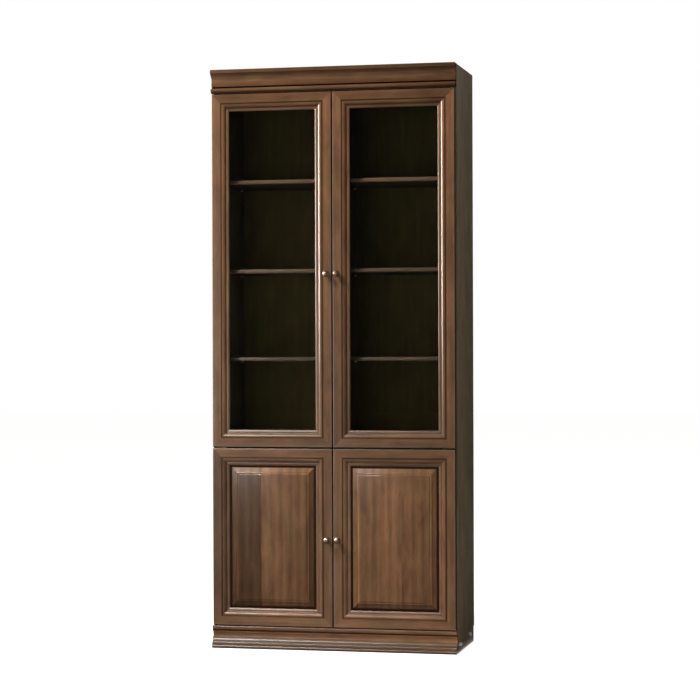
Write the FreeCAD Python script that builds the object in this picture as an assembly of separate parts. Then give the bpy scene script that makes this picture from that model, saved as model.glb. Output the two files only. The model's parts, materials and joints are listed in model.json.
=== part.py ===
import FreeCAD, Part
import math
import os

Vec = FreeCAD.Vector

# A tall two-column bookcase: glazed doors above, panelled doors below.
# X runs to the right, Y to the back, Z up from the floor. The origin is on the
# floor, in the middle of the width and of the depth over the knobs.
# All sizes are millimetres.

# ---- Case ----
overall_height = 2200.0       # floor to the top of the crown
overall_width = 944.0         # over the two sides
case_depth = 368.0            # front edge of a side to its back edge
side_thickness = 22.0
board_thickness = 22.0        # top, middle and bottom boards
partition_thickness = 22.0
back_thickness = 6.0
back_setback = 2.0            # back panels lie this far inside the back edges
back_rebate_width = 10.0      # how far a back panel reaches into a side
back_clearance = 1.0          # play round the edges of a back panel
skirting_notch_depth = 13.0   # cut-out at the back for the room's skirting
skirting_notch_height = 60.0
glide_height = 1.0
glide_radius = 9.0
glide_edge_distance = 32.0    # centre of a glide from the end of its side

# ---- Crown and base mouldings ----
crown_height = 90.0
crown_projection = 12.0       # top fillet in front of the door faces
crown_fillet_height = 13.0
crown_quirk = 2.0
crown_cove_height = 48.0
crown_cove_slope = 14.0       # rise and run of its straight upper part
crown_cove_recess = 9.0       # foot of the cove behind the door faces
crown_groove_depth = 4.0      # groove between the cove and the bead
crown_bead_height = 16.0
crown_bead_projection = 4.5   # front of the bead in front of the door faces
crown_foot_height = 4.0
crown_foot_recess = 3.5
base_height = 86.0
base_nose_recess = 0.0        # top nosing behind the door faces
base_nose_radius = 4.0
base_nose_height = 12.0
base_ovolo_height = 12.0
base_ovolo_rise = 2.4         # hollow of the moulding under the nosing
base_face_recess = 10.0       # upright face behind the door faces
base_face_height = 18.0
base_slope_height = 13.0
base_slope_rise = 2.0
base_slope_recess = 0.5
base_quirk = 6.0              # upright strip between slope and plinth
base_plinth_projection = 7.0  # plinth in front of the door faces
base_reed_groove = 1.2
base_reed_rise = 1.0
rear_rail_thickness = 20.0
glue_block_leg = 40.0
glue_block_length = 80.0
glue_block_end_gap = 24.0

# ---- Doors ----
door_thickness = 22.0
door_air_gap = 2.0            # door back to the front edge of the case
door_side_inset = 3.2         # door edge inside the outer face of a side
door_gap_centre = 4.0
door_gap_middle = 5.0         # between an upper and a lower door
door_gap_end = 3.0            # below the crown and above the base
door_overlap = 10.0           # top and bottom boards seen past a door edge
lower_door_height = 672.0
front_arris = 2.0
back_arris = 3.0
swing_clearance = 0.4

# ---- Door frame section, from the outer edge inwards ----
frame_flat = 35.0
frame_quirk_width = 2.0
frame_quirk_depth = 1.6
frame_bead_width = 15.5
frame_bead_drop = 6.3
frame_bead_rise = 2.3         # how far the bead swells from its chord
frame_step_drop = 2.2
frame_step_width = 1.5
frame_lip_width = 11.0
frame_lip_drop = 2.0
frame_lip_rise = 1.2
rebate_width = 10.0
rebate_depth = 12.4           # from the door face to the glass or the panel

# ---- Glass, its beads and the raised panels ----
glass_thickness = 4.0
glass_edge_clearance = 1.5
bead_thickness = 4.5
bead_chamfer = 2.5
fit_clearance = 0.1           # round every piece that is let into another
panel_tongue_thickness = 5.6
panel_edge_clearance = 1.5
panel_margin = 7.0            # flat border between the frame and the bevel
panel_bevel_width = 19.5
panel_bevel_rise = 5.2
panel_step_rise = 1.6         # upright step at each side of the ledge
panel_ledge_width = 8.0
panel_ledge_rise = 0.8

# ---- Pivot hinges ----
leaf_thickness = 2.5          # the leaves on the case
door_leaf_thickness = 4.0     # the bored leaves in the doors
leaf_width = 12.0
leaf_length = 46.0
leaf_edge_gap = 2.0           # end of a leaf from the door edge
leaf_tongue_width = 32.0
leaf_tongue_depth = 28.0      # the middle leaf's reach into its board
pin_radius = 2.5
pin_clearance = 0.05
pin_reach = 3.6               # how far a pin stands inside a door's edge
collar_radius = 4.5
thrust_gap = 0.3              # between a collar and the door leaf that runs on it

# ---- Knobs ----
knob_radius = 12.5
knob_projection = 28.0
knob_rose_radius = 8.0
knob_rose_thickness = 1.6
knob_neck_radius = 4.6
knob_neck_length = 9.5
knob_widest = 18.5            # from the door face
knob_flat_radius = 3.0
knob_edge_distance = 18.0     # from the meeting edge of the door
knob_height_upper = 1420.0
knob_height_lower = 418.0
knob_screw_radius = 2.0
knob_screw_head_radius = 4.0
knob_screw_head_height = 2.4
knob_screw_reach = 8.0

# ---- Catches ----
catch_length = 40.0
catch_depth = 14.0
catch_height = 13.0
catch_arris = 1.5
catch_partition_gap = 4.0
strike_thickness = 1.0
strike_length = 36.0
strike_height = 11.0
catch_gap = 0.3

# ---- Shelves ----
shelf_thickness = 15.0
shelf_setback = 25.0          # shelf front edge behind the case front
shelf_end_clearance = 1.0
shelf_back_clearance = 2.0
shelf_nose_chamfer = 2.0
upper_shelf_centres = [1099.0, 1434.0, 1774.0]
lower_shelf_centres = [424.0]
shelf_pin_radius = 2.5
shelf_pin_depth = 9.0
shelf_stub_radius = 3.25
shelf_stub_length = 8.0
shelf_pin_edge_distance = 40.0

# ---- Bolts for joining one unit to the next, and wall fixing holes ----
join_bolt_front_distance = 33.0   # from the front edge of the side
join_bolt_front_height = 32.0
join_bolt_back_distance = 118.0   # from the back edge of the side
join_bolt_back_height = 42.0
join_head_radius = 6.5
join_head_height = 9.0
join_shank_radius = 4.0
join_shank_length = 16.0
wall_hole_radius = 3.0
wall_hole_spacing = 640.0

# ---- Sides given to small round pieces that repeat, and blind holes ----
small_round_sides = 8
large_round_sides = 16
hole_spare_depth = 1.0        # a blind hole goes this much deeper than its pin

# ---- Places worked out from the sizes ----
total_depth = knob_projection + door_thickness + door_air_gap + case_depth
back_y = total_depth / 2
case_front = back_y - case_depth
door_back = case_front - door_air_gap
door_face = door_back - door_thickness
back_panel_back = back_y - back_setback
back_panel_front = back_panel_back - back_thickness

side_outer = overall_width / 2
side_inner = side_outer - side_thickness
partition_face = partition_thickness / 2

crown_bottom = overall_height - crown_height
base_top = base_height
lower_door_bottom = base_top + door_gap_end
lower_door_top = lower_door_bottom + lower_door_height
upper_door_bottom = lower_door_top + door_gap_middle
upper_door_top = crown_bottom - door_gap_end
middle_z = (lower_door_top + upper_door_bottom) / 2

bottom_board_top = lower_door_bottom + door_overlap
bottom_board_under = bottom_board_top - board_thickness
middle_board_top = middle_z + board_thickness / 2
middle_board_under = middle_z - board_thickness / 2
top_board_under = upper_door_top - door_overlap
top_board_top = top_board_under + board_thickness

door_outer = side_outer - door_side_inset
door_inner = door_gap_centre / 2
frame_width = (frame_flat + frame_quirk_width + frame_bead_width
               + frame_step_width + frame_lip_width)

# The pin stands in the middle of the door's thickness, as far from the door's
# edge as the turning back corner allows in front of the case.
pivot_y = door_back - door_thickness / 2
corner_reach = door_thickness / 2 + door_air_gap - swing_clearance - back_arris
corner_depth = door_thickness / 2 - back_arris
pivot_inset = back_arris + math.sqrt(corner_reach ** 2 - corner_depth ** 2)
pivot_x = door_outer - pivot_inset


# ---- Drawing helpers ----
def box(x0, x1, y0, y1, z0, z1):
    corner = Vec(min(x0, x1), min(y0, y1), min(z0, z1))
    return Part.makeBox(abs(x1 - x0), abs(y1 - y0), abs(z1 - z0), corner)


def cylinder(radius, start, end):
    axis = end - start
    return Part.makeCylinder(radius, axis.Length, start, axis)


def faceted(radius, start, end, sides=small_round_sides):
    # A round bar with few faces: its corners lie on the circle, and one of its
    # flats faces up, or to the right where the bar stands upright.
    corners = regular_ring(radius, start, end - start, sides)
    return Part.Face(closed_polygon(corners)).extrude(end - start)


def closed_polygon(corners):
    return Part.makePolygon(corners + [corners[0]])


def regular_ring(radius, centre, axis, sides):
    upright = abs(axis.z) > abs(axis.x) + abs(axis.y)
    first = Vec(1, 0, 0) if upright else Vec(0, 0, 1)
    second = axis.cross(first).normalize()
    corners = []
    for index in range(sides):
        turn = 2 * math.pi * (index + 0.5) / sides
        corners.append(centre + first * (radius * math.cos(turn))
                       + second * (radius * math.sin(turn)))
    return corners


def solid_through(rings):
    # A solid whose flat sides run from each ring of corners to the next.
    faces = [Part.Face(closed_polygon(rings[0])), Part.Face(closed_polygon(rings[-1]))]
    for near, far in zip(rings, rings[1:]):
        for index in range(len(near)):
            after = (index + 1) % len(near)
            side = [near[index], near[after], far[after], far[index]]
            faces.append(Part.Face(closed_polygon(side)))
    return Part.makeSolid(Part.makeShell(faces))


def mirrored(shape):
    return shape.mirror(Vec(0, 0, 0), Vec(1, 0, 0))


def quarter_rise(radius):
    # Rise of a quarter circle over its chord.
    return radius * (1 - math.sqrt(0.5))


def upright_arc_rise(across, along):
    # Rise of an arc whose chord is (across, along) and which leaves along it.
    half = math.hypot(across, along) / 2
    return half * math.tan(math.atan2(across, along) / 2)


def outline(steps, place):
    # A closed face. Each step is a point (a, b), or (a, b, rise) for an arc that
    # swells by rise to the left of the way it runs, or to the right if negative.
    edges = []
    here = steps[0][:2]
    for step in list(steps[1:]) + [steps[0][:2]]:
        there = step[:2]
        run = (there[0] - here[0], there[1] - here[1])
        length = math.hypot(run[0], run[1])
        if length < 1e-6:
            continue
        if len(step) == 3:
            middle = ((here[0] + there[0]) / 2 - run[1] / length * step[2],
                      (here[1] + there[1]) / 2 + run[0] / length * step[2])
            edges.append(Part.Arc(place(*here), place(*middle), place(*there)).toShape())
        else:
            edges.append(Part.LineSegment(place(*here), place(*there)).toShape())
        here = there
    return Part.Face(Part.Wire(edges))


def group(shapes):
    return Part.makeCompound(shapes)


parts = {}


# ---- Door frames ----
def frame_section(grooved):
    # (across the member from its outer edge, back from the door face)
    quirk = frame_flat + frame_quirk_width
    bead = quirk + frame_bead_width
    step = bead + frame_step_width
    bead_foot = frame_bead_drop
    step_foot = bead_foot + frame_step_drop
    lip_foot = step_foot + frame_lip_drop
    seat = frame_width - rebate_width
    section = [
        (0, front_arris),
        (front_arris, 0, -quarter_rise(front_arris)),
        (frame_flat, 0),
        (frame_flat + frame_quirk_width / 2, frame_quirk_depth),
        (quirk, 0),
        (bead, bead_foot, -frame_bead_rise),
        (bead, step_foot),
        (step, step_foot),
        (frame_width, lip_foot, -frame_lip_rise),
        (frame_width, rebate_depth),
        (seat, rebate_depth),
    ]
    if grooved:
        groove_back = rebate_depth + panel_tongue_thickness + fit_clearance
        section += [(seat, groove_back), (frame_width, groove_back),
                    (frame_width, door_thickness)]
    else:
        section += [(seat, door_thickness)]
    section += [
        (back_arris, door_thickness),
        (0, door_thickness - back_arris, -quarter_rise(back_arris)),
    ]
    return section


def frame_member(section, corner, across, along, length):
    # One mitred member. corner is the door's corner where it starts, across
    # points to the middle of the door and along is the member's own direction.
    def place(u, v):
        return corner + across * u + Vec(0, v, 0)

    bar = outline(section, place).extrude(along * length)
    spill = 20.0
    near = corner - Vec(0, spill, 0)
    mitre = [
        near - across * spill - along * spill,
        near - across * spill + along * (length + spill),
        near + across * frame_width + along * (length - frame_width),
        near + across * frame_width + along * frame_width,
    ]
    keep = Part.Face(closed_polygon(mitre))
    keep = keep.extrude(Vec(0, door_thickness + 2 * spill, 0))
    return bar.common(keep)


def door_leaf_plate(edge_z, inward, grow=0.0):
    # A plate let into the top or bottom edge of a left-hand door. inward is +1
    # where the door lies above the edge and -1 where it lies below it.
    end = -door_outer + leaf_edge_gap - grow
    return box(end, end + leaf_length + 2 * grow,
               pivot_y - leaf_width / 2 - grow, pivot_y + leaf_width / 2 + grow,
               edge_z, edge_z + inward * (door_leaf_thickness + grow))


def door_leaf(edge_z, inward):
    bore = cylinder(pin_radius + pin_clearance,
                    Vec(-pivot_x, pivot_y, edge_z - inward),
                    Vec(-pivot_x, pivot_y, edge_z + inward * (door_leaf_thickness + 1)))
    return door_leaf_plate(edge_z, inward).cut(bore)


def knob():
    # Rings along the knob's own axis: (radius, distance in front of the door).
    rings = [(knob_rose_radius, 0), (knob_rose_radius, knob_rose_thickness)]
    for degrees in (0, 30, 60, 90):
        turn = math.radians(degrees)
        rings.append((knob_neck_radius + (knob_radius - knob_neck_radius) * math.sin(turn),
                      knob_neck_length + (knob_widest - knob_neck_length) * (1 - math.cos(turn))))
    for degrees in (30, 60, 90):
        turn = math.radians(degrees)
        rings.append((knob_flat_radius + (knob_radius - knob_flat_radius) * math.cos(turn),
                      knob_widest + (knob_projection - knob_widest) * math.sin(turn)))
    return solid_through([regular_ring(radius, Vec(0, -distance, 0), Vec(0, -1, 0),
                                       large_round_sides) for radius, distance in rings])


def raised_panel(x0, x1, z0, z1):
    # The sight opening is x0 to x1 and z0 to z1; the tongue goes into the groove.
    reach = rebate_width - panel_edge_clearance
    tongue_front = door_face + rebate_depth + fit_clearance / 2
    tongue_back = tongue_front + panel_tongue_thickness
    solid = box(x0 - reach, x1 + reach, tongue_front, tongue_back, z0 - reach, z1 + reach)

    def rectangle(inset, y):
        return [Vec(x0 + inset, y, z0 + inset), Vec(x1 - inset, y, z0 + inset),
                Vec(x1 - inset, y, z1 - inset), Vec(x0 + inset, y, z1 - inset)]

    bevel_end = panel_margin + panel_bevel_width
    field_start = bevel_end + panel_ledge_width
    bevel_head = tongue_front - panel_bevel_rise
    ledge_foot = bevel_head - panel_step_rise
    ledge_head = ledge_foot - panel_ledge_rise
    rings = [rectangle(panel_margin, tongue_front), rectangle(bevel_end, bevel_head),
             rectangle(bevel_end, ledge_foot), rectangle(field_start, ledge_head),
             rectangle(field_start, ledge_head - panel_step_rise)]
    return solid.fuse(solid_through(rings)).removeSplitter()


def glass_beads(x0, x1, z0, z1, front):
    # Four mitred strips behind the glass, inside the rebate.
    strips = []
    width = rebate_width - fit_clearance
    back = front + bead_thickness
    section = [(0, 0), (width, 0), (width, bead_thickness - bead_chamfer),
               (width - bead_chamfer, bead_thickness), (0, bead_thickness)]
    corners = [Vec(x0 - width, front, z0 - width), Vec(x1 + width, front, z0 - width),
               Vec(x1 + width, front, z1 + width), Vec(x0 - width, front, z1 + width)]
    for index in range(4):
        start = corners[index]
        end = corners[(index + 1) % 4]
        along = (end - start).normalize()
        across = Vec(0, -1, 0).cross(along) * -1
        middle = Vec((x0 + x1) / 2, front, (z0 + z1) / 2)
        if across.dot(middle - start) < 0:
            across = across * -1
        length = (end - start).Length

        def place(u, v, start=start, across=across):
            return start + across * u + Vec(0, v, 0)

        bar = outline(section, place).extrude(along * length)
        spill = 5.0
        near = start - Vec(0, spill, 0)
        mitre = [near - across * spill - along * spill,
                 near - across * spill + along * (length + spill),
                 near + across * (width + spill) + along * (length - width - spill),
                 near + across * (width + spill) + along * (width + spill)]
        keep = Part.Face(closed_polygon(mitre))
        keep = keep.extrude(Vec(0, back - front + 2 * spill, 0))
        strips.append(bar.common(keep))
    return group(strips)


def catch_x():
    return -(partition_face + catch_partition_gap + catch_length / 2)


def door(name, bottom, top, glazed, knob_z, board_under):
    # The pieces of one left-hand door and of its mirror image on the right.
    left = -door_outer
    right = -door_inner
    width = right - left
    height = top - bottom
    section = frame_section(grooved=not glazed)
    lower_left = Vec(left, door_face, bottom)
    lower_right = Vec(right, door_face, bottom)
    upper_left = Vec(left, door_face, top)
    to_right = Vec(1, 0, 0)
    to_left = Vec(-1, 0, 0)
    up = Vec(0, 0, 1)
    down = Vec(0, 0, -1)
    members = {
        "hinge_stile": frame_member(section, lower_left, to_right, up, height),
        "meeting_stile": frame_member(section, lower_right, to_left, up, height),
        "bottom_rail": frame_member(section, lower_left, up, to_right, width),
        "top_rail": frame_member(section, upper_left, down, to_right, width),
    }
    pockets = group([door_leaf_plate(bottom, 1, fit_clearance),
                     door_leaf_plate(top, -1, fit_clearance)])
    knob_x = right - knob_edge_distance
    screw_hole = faceted(knob_screw_radius + fit_clearance,
                         Vec(knob_x, door_face - 1, knob_z), Vec(knob_x, door_back + 1, knob_z))
    for key in members:
        members[key] = members[key].cut(pockets)
    members["meeting_stile"] = members["meeting_stile"].cut(screw_hole)

    x0 = left + frame_width
    x1 = right - frame_width
    z0 = bottom + frame_width
    z1 = top - frame_width
    if glazed:
        reach = rebate_width - glass_edge_clearance
        glass_front = door_face + rebate_depth + fit_clearance
        glass_back = glass_front + glass_thickness
        members["glass"] = box(x0 - reach, x1 + reach, glass_front, glass_back,
                               z0 - reach, z1 + reach)
        members["glass_beads"] = glass_beads(x0, x1, z0, z1, glass_back + fit_clearance)
    else:
        members["panel"] = raised_panel(x0, x1, z0, z1)

    # Knob, with the blind hole for its screw, and the screw from behind.
    turned = knob()
    hole_end = knob_screw_reach + hole_spare_depth
    turned = turned.cut(faceted(knob_screw_radius + fit_clearance,
                                Vec(0, 1, 0), Vec(0, -hole_end, 0)))
    turned.translate(Vec(knob_x, door_face, knob_z))
    members["knob"] = turned
    screw = faceted(knob_screw_radius, Vec(knob_x, door_back, knob_z),
                    Vec(knob_x, door_face - knob_screw_reach, knob_z))
    head = faceted(knob_screw_head_radius, Vec(knob_x, door_back, knob_z),
                   Vec(knob_x, door_back + knob_screw_head_height, knob_z))
    strike_z = board_under - catch_height / 2
    strike = box(catch_x() - strike_length / 2, catch_x() + strike_length / 2,
                 door_back, door_back + strike_thickness,
                 strike_z - strike_height / 2, strike_z + strike_height / 2)
    members["fittings"] = group([door_leaf(bottom, 1), door_leaf(top, -1),
                                 screw.fuse(head).removeSplitter(), strike])
    for key, shape in members.items():
        parts[name + "_left_" + key] = shape
        parts[name + "_right_" + key] = mirrored(shape)


door("glass_door", upper_door_bottom, upper_door_top, True, knob_height_upper, top_board_under)
door("panel_door", lower_door_bottom, lower_door_top, False, knob_height_lower,
     middle_board_under)


# ---- Pivot leaves on the case ----
def pivot_pin(foot_z, door_edge_z):
    # Pin with its thrust collar, from foot_z into the door whose edge is given.
    toward = 1 if door_edge_z > foot_z else -1
    start = Vec(-pivot_x, pivot_y, foot_z)
    pin_end = Vec(-pivot_x, pivot_y, door_edge_z + toward * pin_reach)
    collar_end = Vec(-pivot_x, pivot_y, door_edge_z - toward * thrust_gap)
    collar = faceted(collar_radius, start, collar_end, large_round_sides)
    return cylinder(pin_radius, start, pin_end).fuse(collar)


def case_leaf(moulding_z, into, door_edge_z, grow=0.0):
    # A straight leaf let into the crown or base. into is +1 upwards, -1 down.
    end = -door_outer + leaf_edge_gap - grow
    plate = box(end, end + leaf_length + 2 * grow,
                pivot_y - leaf_width / 2 - grow, pivot_y + leaf_width / 2 + grow,
                moulding_z, moulding_z + into * (leaf_thickness + grow))
    if grow > 0.0:
        return plate
    return plate.fuse(pivot_pin(moulding_z, door_edge_z)).removeSplitter()


def middle_leaf(grow=0.0):
    # An L-shaped leaf that carries the upper and the lower door of one column.
    end = -door_outer + leaf_edge_gap
    tongue_left = -side_inner + leaf_edge_gap
    tongue_right = tongue_left + leaf_tongue_width
    z0 = middle_z - leaf_thickness / 2 - grow
    z1 = middle_z + leaf_thickness / 2 + grow
    tongue = box(tongue_left - grow, tongue_right + grow, pivot_y + leaf_width / 2,
                 case_front + leaf_tongue_depth + grow, z0, z1)
    if grow > 0.0:
        return tongue
    bar = box(end, tongue_right, pivot_y - leaf_width / 2, pivot_y + leaf_width / 2, z0, z1)
    leaf = bar.fuse(tongue)
    leaf = leaf.fuse(pivot_pin(z1, upper_door_bottom))
    leaf = leaf.fuse(pivot_pin(z0, lower_door_top))
    return leaf.removeSplitter()


leaves = [case_leaf(crown_bottom, 1, upper_door_top), middle_leaf(),
          case_leaf(base_top, -1, lower_door_bottom)]
parts["pivot_leaves"] = group(leaves + [mirrored(leaf) for leaf in leaves])


# ---- Sides ----
def pin_holes(wall_x, toward, centres):
    # Holes for the shelf pins, bored from the face at wall_x. toward is the
    # direction from the wood to the open compartment.
    holes = []
    for centre in centres:
        for y in shelf_pin_places:
            start = Vec(wall_x + toward, y, pin_height(centre))
            end = Vec(wall_x - toward * (shelf_pin_depth + hole_spare_depth), y,
                      pin_height(centre))
            holes.append(faceted(shelf_pin_radius + fit_clearance, start, end))
    return holes


def pin_height(centre):
    # A shelf lies on the upper flats of its pins' stubs.
    return (centre - shelf_thickness / 2
            - shelf_stub_radius * math.cos(math.pi / small_round_sides))


shelf_front = case_front + shelf_setback
shelf_back = back_panel_front - shelf_back_clearance
shelf_pin_places = [shelf_front + shelf_pin_edge_distance, shelf_back - shelf_pin_edge_distance]
all_shelf_centres = lower_shelf_centres + upper_shelf_centres

join_bolt_places = [(case_front + join_bolt_front_distance, join_bolt_front_height),
                    (back_y - join_bolt_back_distance, join_bolt_back_height)]
glide_places = [case_front + glide_edge_distance,
                back_y - skirting_notch_depth - glide_edge_distance]
side_middle = (side_inner + side_outer) / 2

left_side = box(-side_outer, -side_inner, case_front, back_y, glide_height, overall_height)
left_side = left_side.cut(box(-side_inner - back_rebate_width, -side_inner + 1,
                              back_panel_front, back_y + 1, 0, top_board_top))
left_side = left_side.cut(box(-side_outer - 1, -side_inner + 1, back_y - skirting_notch_depth,
                              back_y + 1, 0, skirting_notch_height))
for y, z in join_bolt_places:
    hole_end = -side_outer + join_shank_length + hole_spare_depth
    left_side = left_side.cut(faceted(join_shank_radius + fit_clearance,
                                      Vec(-side_outer - 1, y, z), Vec(hole_end, y, z)))
left_side = left_side.cut(group(pin_holes(-side_inner, 1, all_shelf_centres)))
parts["side_left"] = left_side
parts["side_right"] = mirrored(left_side)

# ---- Boards, partitions and backs ----
top_board = box(-side_inner, side_inner, case_front, back_panel_front,
                top_board_under, top_board_top)
middle_board = box(-side_inner, side_inner, case_front, back_panel_front,
                   middle_board_under, middle_board_top)
slot = middle_leaf(fit_clearance)
middle_board = middle_board.cut(group([slot, mirrored(slot)]))
bottom_board = box(-side_inner, side_inner, case_front, back_panel_front,
                   bottom_board_under, bottom_board_top)
parts["top_board"] = top_board
parts["middle_board"] = middle_board
parts["bottom_board"] = bottom_board

for name, under, over, centres in (
        ("partition_upper", middle_board_top, top_board_under, upper_shelf_centres),
        ("partition_lower", bottom_board_top, middle_board_under, lower_shelf_centres)):
    partition = box(-partition_face, partition_face, case_front, back_panel_front, under, over)
    holes = pin_holes(-partition_face, -1, centres) + pin_holes(partition_face, 1, centres)
    parts[name] = partition.cut(group(holes))

back_reach = side_inner + back_rebate_width - back_clearance
parts["back_upper"] = box(-back_reach, back_reach, back_panel_front, back_panel_back,
                          middle_z + back_clearance / 2, top_board_top)
parts["back_lower"] = box(-back_reach, back_reach, back_panel_front, back_panel_back,
                          bottom_board_under, middle_z - back_clearance / 2)


# ---- Crown and base mouldings ----
def moulding(steps, reference_z):
    # (in front of the door faces, below or above reference_z) run along X.
    face = outline(steps, lambda d, h: Vec(-side_outer, door_face - d, reference_z + h))
    return face.extrude(Vec(overall_width, 0, 0))


wall = door_face - case_front
cove_top = -crown_fillet_height - crown_quirk
cove_foot = cove_top - crown_cove_height
cove_head = crown_projection - crown_quirk
curve_head = cove_head - crown_cove_slope
curve_run = curve_head + crown_cove_recess
curve_drop = curve_run / math.tan(math.radians(22.5))
curve_rise = upright_arc_rise(curve_run, curve_drop)
bead_under = -crown_height + crown_foot_height
bead_over = bead_under + crown_bead_height
bead_root = crown_bead_projection - crown_bead_height / 2
crown_groove_back = -crown_cove_recess - crown_groove_depth
crown_steps = [
    (wall, 0),
    (crown_projection, 0),
    (crown_projection, -crown_fillet_height),
    (cove_head, cove_top),
    (curve_head, cove_top - crown_cove_slope),
    (-crown_cove_recess, cove_top - crown_cove_slope - curve_drop, -curve_rise),
    (-crown_cove_recess, cove_foot),
    (crown_groove_back, cove_foot),
    (crown_groove_back, bead_over),
    (bead_root, bead_over),
    (bead_root, bead_under, crown_bead_height / 2),
    (-crown_foot_recess, bead_under),
    (-crown_foot_recess, -crown_height),
    (wall, -crown_height),
]
crown = moulding(crown_steps, overall_height)
leaf_pocket = case_leaf(crown_bottom, 1, upper_door_top, fit_clearance)
parts["crown_moulding"] = crown.cut(group([leaf_pocket, mirrored(leaf_pocket)]))

nose_foot = base_height - base_nose_height
ovolo_foot = nose_foot - base_ovolo_height
face_foot = ovolo_foot - base_face_height
slope_foot = face_foot - base_slope_height
reed_middle = (slope_foot - base_quirk + glide_height) / 2
base_steps = [
    (wall, base_height),
    (-base_nose_recess - base_nose_radius, base_height),
    (-base_nose_recess, base_height - base_nose_radius, quarter_rise(base_nose_radius)),
    (-base_nose_recess, nose_foot),
    (-base_face_recess, ovolo_foot, base_ovolo_rise),
    (-base_face_recess, face_foot),
    (-base_slope_recess, slope_foot, base_slope_rise),
    (-base_slope_recess, slope_foot - base_quirk),
    (base_plinth_projection, slope_foot - base_quirk),
    (base_plinth_projection, reed_middle + base_reed_groove, base_reed_rise),
    (base_plinth_projection - base_reed_groove, reed_middle),
    (base_plinth_projection, reed_middle - base_reed_groove),
    (base_plinth_projection, glide_height, base_reed_rise),
    (wall, glide_height),
]
base = moulding(base_steps, 0)
leaf_pocket = case_leaf(base_top, -1, lower_door_bottom, fit_clearance)
parts["base_moulding"] = base.cut(group([leaf_pocket, mirrored(leaf_pocket)]))

crown_rail = box(-side_inner, side_inner, back_panel_back - rear_rail_thickness,
                 back_panel_back, top_board_top, overall_height)
wall_hole_z = (top_board_top + overall_height) / 2
for sign in (-1, 1):
    x = sign * wall_hole_spacing / 2
    crown_rail = crown_rail.cut(cylinder(wall_hole_radius, Vec(x, back_y - 60, wall_hole_z),
                                         Vec(x, back_y + 1, wall_hole_z)))
parts["crown_rear_rail"] = crown_rail
base_rail_back = back_y - skirting_notch_depth
parts["base_rear_rail"] = box(-side_inner, side_inner, base_rail_back - rear_rail_thickness,
                              base_rail_back, glide_height, bottom_board_under)


def glue_block(x, z, up):
    # Three-cornered block in the angle of a board and the moulding before it.
    leg = glue_block_leg
    steps = [(case_front, z), (case_front + leg, z), (case_front, z + up * leg)]
    face = outline(steps, lambda y, h: Vec(x - glue_block_length / 2, y, h))
    return face.extrude(Vec(glue_block_length, 0, 0))


block_end = side_inner - glue_block_end_gap - glue_block_length / 2
block_places = [-block_end, -block_end / 3, block_end / 3, block_end]
parts["glue_blocks"] = group([glue_block(x, top_board_top, 1) for x in block_places]
                             + [glue_block(x, bottom_board_under, -1) for x in block_places])


# ---- Shelves and their pins ----
def shelf(centre):
    left = -side_inner + shelf_end_clearance
    right = -partition_face - shelf_end_clearance
    half = shelf_thickness / 2
    nose = shelf_nose_chamfer
    steps = [
        (shelf_back, centre - half),
        (shelf_front + nose, centre - half),
        (shelf_front, centre - half + nose),
        (shelf_front, centre + half - nose),
        (shelf_front + nose, centre + half),
        (shelf_back, centre + half),
    ]
    face = outline(steps, lambda y, z: Vec(left, y, z))
    return face.extrude(Vec(right - left, 0, 0))


def shelf_pin(wall_x, toward, y, centre):
    foot = Vec(wall_x, y, pin_height(centre))
    shank = faceted(shelf_pin_radius, foot - Vec(toward * shelf_pin_depth, 0, 0), foot)
    stub = faceted(shelf_stub_radius, foot, foot + Vec(toward * shelf_stub_length, 0, 0))
    return shank.fuse(stub).removeSplitter()


pins = []
for centre in all_shelf_centres:
    for y in shelf_pin_places:
        pins.append(shelf_pin(-side_inner, 1, y, centre))
        pins.append(shelf_pin(-partition_face, -1, y, centre))
parts["shelf_pins"] = group(pins + [mirrored(pin) for pin in pins])

for level, centre in enumerate(upper_shelf_centres, 1):
    parts["shelf_upper_left_%d" % level] = shelf(centre)
    parts["shelf_upper_right_%d" % level] = mirrored(shelf(centre))
for centre in lower_shelf_centres:
    parts["shelf_lower_left"] = shelf(centre)
    parts["shelf_lower_right"] = mirrored(shelf(centre))


# ---- Magnetic catches ----
def catch(board_under):
    front = door_back + strike_thickness + catch_gap
    body = box(catch_x() - catch_length / 2, catch_x() + catch_length / 2,
               front, front + catch_depth, board_under - catch_height, board_under)
    lower_edges = [edge for edge in body.Edges
                   if edge.BoundBox.ZMax < board_under - catch_height / 2]
    return body.makeChamfer(catch_arris, lower_edges)


catches = [catch(top_board_under), catch(middle_board_under)]
parts["magnetic_catches"] = group(catches + [mirrored(item) for item in catches])


# ---- Joining bolts and floor glides ----
def join_bolt(y, z):
    outer = Vec(side_outer, y, z)
    head = cylinder(join_head_radius, outer, outer + Vec(join_head_height, 0, 0))
    shank = faceted(join_shank_radius, outer, outer - Vec(join_shank_length, 0, 0))
    return head.fuse(shank).removeSplitter()


bolts = [join_bolt(y, z) for y, z in join_bolt_places]
parts["joining_bolts"] = group(bolts + [mirrored(bolt) for bolt in bolts])


def floor_glide(y):
    centre = Vec(side_middle, y, 0)
    return faceted(glide_radius, centre, centre + Vec(0, 0, glide_height), large_round_sides)


glides = [floor_glide(y) for y in glide_places]
parts["floor_glides"] = group(glides + [mirrored(glide) for glide in glides])

# ---- Write the parts ----
os.makedirs("parts", exist_ok=True)
for name, shape in parts.items():
    shape.exportStep("parts/%s.step" % name)
print(len(parts), "nodes,", sum(len(shape.Solids) for shape in parts.values()), "solids")
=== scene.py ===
import json
import math

import bmesh
import bpy
from mathutils import Matrix, Vector


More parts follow.
